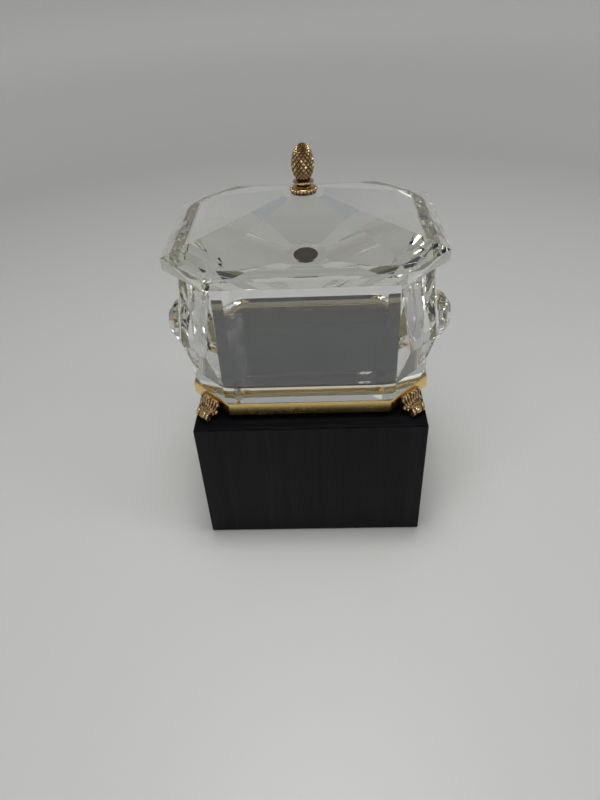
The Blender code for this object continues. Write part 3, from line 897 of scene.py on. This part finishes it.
def cone_scales():
    """Tree that stands a four-sided scale, one corner up, on every point of the cone."""
    tree, enter, leave = new_shape_tree("cone_scales", (
        ("Rise", "NodeSocketFloat"), ("Long", "NodeSocketFloat"),
        ("Finish", "NodeSocketMaterial")))
    scale = add_node(tree, "GeometryNodeMeshCone", Vertices=4, Side_Segments=2,
                     Radius_Top=SCALE_TOP_RADIUS, Radius_Bottom=SCALE_FOOT_RADIUS,
                     Depth=enter.outputs["Rise"])
    facing = add_node(tree, "GeometryNodeInputNamedAttribute", Name="facing")
    facing.data_type = "FLOAT_VECTOR"
    width = add_node(tree, "GeometryNodeInputNamedAttribute", Name="half_width")
    width.data_type = "FLOAT"
    stand = tree.nodes.new("FunctionNodeAlignRotationToVector")
    stand.axis = "Z"
    tree.links.new(facing.outputs["Attribute"], stand.inputs["Vector"])
    point_up = add_node(tree, "FunctionNodeAlignRotationToVector", Vector=(0, 0, 1),
                        Rotation=stand.outputs["Rotation"])
    point_up.axis = "Y"
    point_up.pivot_axis = "Z"
    tall = tree.nodes.new("ShaderNodeMath")
    tall.operation = "MULTIPLY"
    tree.links.new(width.outputs["Attribute"], tall.inputs[0])
    tree.links.new(enter.outputs["Long"], tall.inputs[1])
    size = add_node(tree, "ShaderNodeCombineXYZ", X=width.outputs["Attribute"],
                    Y=tall.outputs["Value"], Z=1.0)
    scales = add_node(tree, "GeometryNodeInstanceOnPoints", Points=enter.outputs["Geometry"],
                      Instance=scale.outputs["Mesh"], Rotation=point_up.outputs["Rotation"],
                      Scale=size.outputs["Vector"])
    real = add_node(tree, "GeometryNodeRealizeInstances", Geometry=scales.outputs["Instances"])
    coat = add_node(tree, "GeometryNodeSetMaterial", Geometry=real.outputs["Geometry"],
                    Material=enter.outputs["Finish"])
    tree.links.new(coat.outputs["Geometry"], leave.inputs["Geometry"])
    return tree


flange_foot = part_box("finial_flange")[0][2]
flange = turned_piece("flange_body", FLANGE, flange_foot, FLANGE_WAIST)
flange_beads = link_object("flange_beads", bpy.data.meshes.new("flange_beads"))
grown(flange_beads, bead_circle(), {
    "Count": FLANGE_BEADS, "Circle": FLANGE_BEAD_CIRCLE, "Bead": FLANGE_BEAD_RADIUS,
    "Height": flange_foot + FLANGE_BEAD_HEIGHT, "Finish": gilt})
dress(flange, gilt, "lid", "gilt_bronze", "finial_flange")
dress(flange_beads, gilt, "lid", "gilt_bronze")

knop = turned_piece("turned_knop", KNOP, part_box("finial_knop")[0][2], KNOP_WAIST)
dress(knop, gilt, "lid", "gilt_bronze", "finial_knop")

cone_low, cone_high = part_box("finial_cone")[0][2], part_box("finial_cone")[1][2]
cone_tall = cone_high - cone_low
core_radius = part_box("finial_cone")[1][0] - SCALE_STANDS
cone_outline = smooth_path(CONE_SHAPE, 6)


def cone_at(share):
    """Core radius and outward slope at a share of the cone's height."""
    for lower, upper in zip(cone_outline, cone_outline[1:]):
        if lower[0] <= share <= upper[0]:
            t = (share - lower[0]) / max(upper[0] - lower[0], 1e-9)
            radius = (lower[1] + (upper[1] - lower[1]) * t) * core_radius
            slope = Vector(((upper[0] - lower[0]) * cone_tall,
                            -(upper[1] - lower[1]) * core_radius)).normalized()
            return radius, slope
    return 0.0, Vector((0, 1))


def scale_places():
    """Points of the scales in staggered rows, each with its facing and half width."""
    spots = []
    facing = []
    widths = []
    share = SCALES_FROM
    row = 0
    while share < SCALES_TO:
        radius, slope = cone_at(share)
        half_width = math.pi * radius / SCALES_ROUND
        for k in range(SCALES_ROUND):
            turn = 2 * math.pi * (k + 0.5 * (row % 2)) / SCALES_ROUND
            spots.append((radius * math.cos(turn), radius * math.sin(turn),
                          cone_low + cone_tall * share))
            facing.append((slope.x * math.cos(turn), slope.x * math.sin(turn), slope.y))
            widths.append(half_width / MM)
        share += SCALE_TALL * half_width * max(slope.x, LEAST_CLIMB) / cone_tall
        row += 1
    mesh = bpy.data.meshes.new("scale_spots")
    mesh.from_pydata(spots, [], [])
    mesh.attributes.new("facing", "FLOAT_VECTOR", "POINT").data.foreach_set(
        "vector", [value for vector in facing for value in vector])
    mesh.attributes.new("half_width", "FLOAT", "POINT").data.foreach_set("value", widths)
    return mesh


def cone_core():
    """Plain egg-shaped core that the scales stand on."""
    bm = bmesh.new()
    patina_shade = bm.verts.layers.float.new("patina_shade")
    section = [(cone_low / MM, 0.0)]
    section += [((cone_low + cone_tall * share) / MM, radius * core_radius / MM)
                for share, radius in cone_outline[:-1]]
    section.append(((cone_high - CORE_TOP_DROP) / MM, 0.0))
    add_turned(bm, patina_shade, section, UPRIGHT, CORE_SIDES)
    return link_object("cone_core", finished_mesh(bm, "cone_core"))


def darken_hollows(cone):
    """Mark as recess what lies deeper than the scales' tips."""
    patina_shade = cone.data.attributes.get("patina_shade")
    for vert in cone.data.vertices:
        share = (vert.co.z - cone_low) / cone_tall
        radius, slope = cone_at(min(max(share, 0.0), 1.0))
        stands = (math.hypot(vert.co.x, vert.co.y) - radius) / SCALE_STANDS
        patina_shade.data[vert.index].value = min(max(1.0 - HOLLOW_RATE * stands, 0.0), CONE_PATINA)


scales = link_object("scale_field", scale_places())
grown(scales, cone_scales(), {"Rise": SCALE_STANDS + SCALE_ROOT, "Long": SCALE_TALL,
                              "Finish": gilt})
cone = joined("pine_cone", cone_core(), scales)
darken_hollows(cone)
dress(cone, gilt, "lid", "gilt_bronze", "finial_cone")
finish_node("finial_stud", brass)
